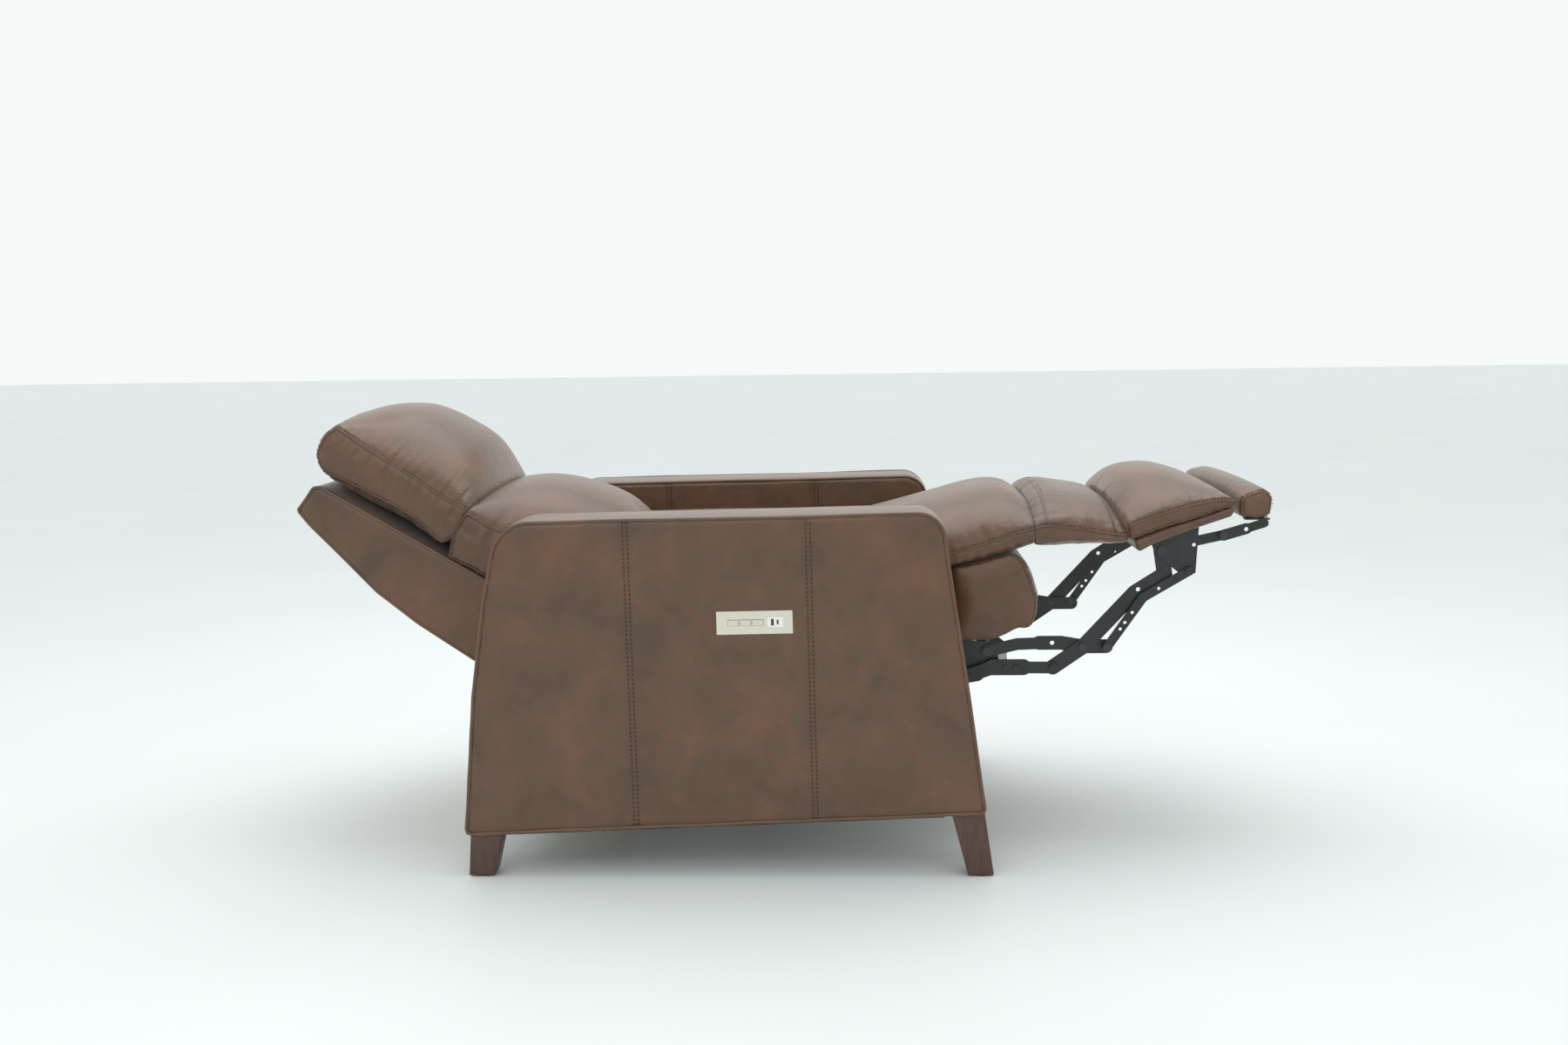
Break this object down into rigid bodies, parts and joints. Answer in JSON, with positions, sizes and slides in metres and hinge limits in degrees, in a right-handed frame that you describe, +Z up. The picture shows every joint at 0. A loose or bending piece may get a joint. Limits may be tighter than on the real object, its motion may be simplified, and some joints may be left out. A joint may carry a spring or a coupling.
{
  "type": "power recliner armchair",
  "caption": "Power recliner armchair in padded leather, shown laid back, with a linkage footrest, a tilting head pillow, tapered wooden legs and keys on one arm.",
  "frame": {"origin": "on the floor, at the middle of the laid-back chair's length and width", "axes": "+Z up; the chair's front, with the footrest, faces -Y; +X is the sitter's left; the control plate is on the right arm, at -X"},
  "size_m": [0.82, 1.7895, 0.8299],
  "materials": {
    "leather": "mottled, soft sheen",
    "timber": "bare plywood",
    "leg_wood": "dark stained, satin lacquer",
    "steel": "black satin powder coat",
    "zinc": "zinc plated",
    "washer": "moulded nylon",
    "panel": "satin champagne anodised",
    "key": "satin painted",
    "usb_white": "gloss white",
    "black_plastic": "fine moulded texture",
    "dust_cloth": "non-woven black cloth",
    "nylon": "moulded nylon",
    "spring_steel": "drawn wire"
  },
  "bodies": {
    "base": {"right_arm_cover": "leather", "left_arm_cover": "leather", "right_arm_frame": "timber", "left_arm_frame": "timber", "arm_dust_covers": "dust_cloth", "front_legs": "leg_wood", "rear_legs": "leg_wood", "leg_glides": "black_plastic", "right_base_rail": "steel", "left_base_rail": "steel", "front_cross_tube": "steel", "rear_cross_tube": "steel", "rear_rail": "timber", "base_pivots": "washer", "control_plate": "panel", "control_box": "black_plastic", "usb_module": "usb_white", "power_inlet": "black_plastic"},
    "rear_swing": {"rear_swing_links": "steel"},
    "front_swing": {"front_swing_links": "steel"},
    "seat": {"right_seat_plate": "steel", "left_seat_plate": "steel", "seat_rear_bar": "steel", "drive_bar_tube": "steel", "seat_springs": "spring_steel", "seat_cushion": "leather", "front_bolster": "leather", "seat_pivots": "zinc", "footrest_motor": "black_plastic", "footrest_screw_rail": "zinc", "recline_motor": "black_plastic", "recline_screw_rail": "zinc"},
    "footrest_nut": {"footrest_nut": "nylon"},
    "recline_nut": {"recline_nut": "nylon"},
    "flap": {"chaise_flap": "leather"},
    "upper": {"upper_links": "steel", "torque_tube": "steel", "upper_link_pivots": "zinc"},
    "wide": {"wide_links": "steel", "wide_link_pivots": "zinc"},
    "lower": {"lower_links": "steel"},
    "narrow": {"narrow_links": "steel"},
    "footrest": {"footrest_brackets": "steel", "footrest_board": "leather", "footrest_pad": "leather", "footrest_pivots": "zinc"},
    "extension": {"extension_arms": "steel", "extension_pad": "leather"},
    "back": {"back_frame": "timber", "back_cover": "leather", "back_brackets": "steel", "back_springs": "spring_steel", "lumbar_cushion": "leather", "headrest_motor": "black_plastic", "headrest_hinges": "steel"},
    "head": {"headrest_frame": "steel", "headrest_cushion": "leather"},
    "recline_key": {"recline_rocker": "key"},
    "footrest_key": {"footrest_rocker": "key"},
    "headrest_key": {"headrest_rocker": "key"}
  },
  "joints": [
    {"name": "recline", "type": "hinge", "parent": "base", "child": "rear_swing", "pos_m": [0, 0.34344, 0.05465], "axis": [-1, 0, 0], "range_deg": [0, 36.28]},
    {"name": "front_swing_turn", "type": "hinge", "parent": "base", "child": "front_swing", "pos_m": [0, -0.15458, 0.14519], "axis": [-1, 0, 0], "range_deg": [0, 45.54]},
    {"name": "seat_tilt", "type": "hinge", "parent": "rear_swing", "child": "seat", "pos_m": [0, 0.262, 0.34], "axis": [1, 0, 0], "range_deg": [0, 46.29]},
    {"name": "back_turn", "type": "hinge", "parent": "seat", "child": "back", "pos_m": [0, 0.31, 0.42], "axis": [1, 0, 0], "range_deg": [0, 34.01]},
    {"name": "recline_nut_slide", "type": "slide", "parent": "seat", "child": "recline_nut", "axis": [0, -1, 0], "range_m": [-0.05615, 0]},
    {"name": "headrest", "type": "hinge", "parent": "back", "child": "head", "pos_m": [0, 0.6, 0.59], "axis": [1, 0, 0], "range_deg": [-3, 22]},
    {"name": "footrest", "type": "hinge", "parent": "seat", "child": "upper", "pos_m": [0, -0.38, 0.373], "axis": [1, 0, 0], "range_deg": [0, 101.67]},
    {"name": "footrest_nut_slide", "type": "slide", "parent": "seat", "child": "footrest_nut", "axis": [0, -1, 0], "range_m": [-0.09305, 0]},
    {"name": "flap_turn", "type": "hinge", "parent": "seat", "child": "flap", "pos_m": [0, -0.464, 0.6], "axis": [1, 0, 0], "range_deg": [0, 65.51]},
    {"name": "wide_link_turn", "type": "hinge", "parent": "upper", "child": "wide", "pos_m": [0, -0.556, 0.381], "axis": [1, 0, 0], "range_deg": [-101.16, 0]},
    {"name": "lower_link_turn", "type": "hinge", "parent": "seat", "child": "lower", "pos_m": [0, -0.33437, 0.32488], "axis": [1, 0, 0], "range_deg": [0, 109.13]},
    {"name": "narrow_link_turn", "type": "hinge", "parent": "upper", "child": "narrow", "pos_m": [0, -0.599, 0.381], "axis": [1, 0, 0], "range_deg": [-115.3, 0]},
    {"name": "board_turn", "type": "hinge", "parent": "wide", "child": "footrest", "pos_m": [0, -0.697, 0.562], "axis": [1, 0, 0], "range_deg": [0, 90.99]},
    {"name": "extension_turn", "type": "hinge", "parent": "footrest", "child": "extension", "pos_m": [0, -0.80795, 0.58795], "axis": [1, 0, 0], "range_deg": [0, 68.01]},
    {"name": "recline_key", "type": "hinge", "parent": "base", "child": "recline_key", "pos_m": [-0.403, 0.0785, 0.46241], "axis": [0, 0.014, 0.9999], "range_deg": [-5, 5], "stiffness_Nm_per_rad": 0.06},
    {"name": "footrest_key", "type": "hinge", "parent": "base", "child": "footrest_key", "pos_m": [-0.403, 0.057, 0.46271], "axis": [0, 0.014, 0.9999], "range_deg": [-5, 5], "stiffness_Nm_per_rad": 0.06},
    {"name": "headrest_key", "type": "hinge", "parent": "base", "child": "headrest_key", "pos_m": [-0.403, 0.03551, 0.46301], "axis": [0, 0.014, 0.9999], "range_deg": [-5, 5], "stiffness_Nm_per_rad": 0.06}
  ],
  "couplings": [
    {"joint": "front_swing_turn", "follows": "recline", "ratio": 1.2551},
    {"joint": "seat_tilt", "follows": "recline", "ratio": 1.2757},
    {"joint": "back_turn", "follows": "recline", "ratio": 0.93726},
    {"joint": "recline_nut_slide", "follows": "recline", "m_per_rad": -0.088662},
    {"joint": "footrest_nut_slide", "follows": "footrest", "m_per_rad": -0.052432},
    {"joint": "flap_turn", "follows": "footrest", "ratio": 0.64426},
    {"joint": "wide_link_turn", "follows": "footrest", "ratio": -0.9949},
    {"joint": "lower_link_turn", "follows": "footrest", "ratio": 1.0733},
    {"joint": "narrow_link_turn", "follows": "footrest", "ratio": -1.1339},
    {"joint": "board_turn", "follows": "footrest", "ratio": 0.8949},
    {"joint": "extension_turn", "follows": "footrest", "ratio": 0.66885}
  ]
}
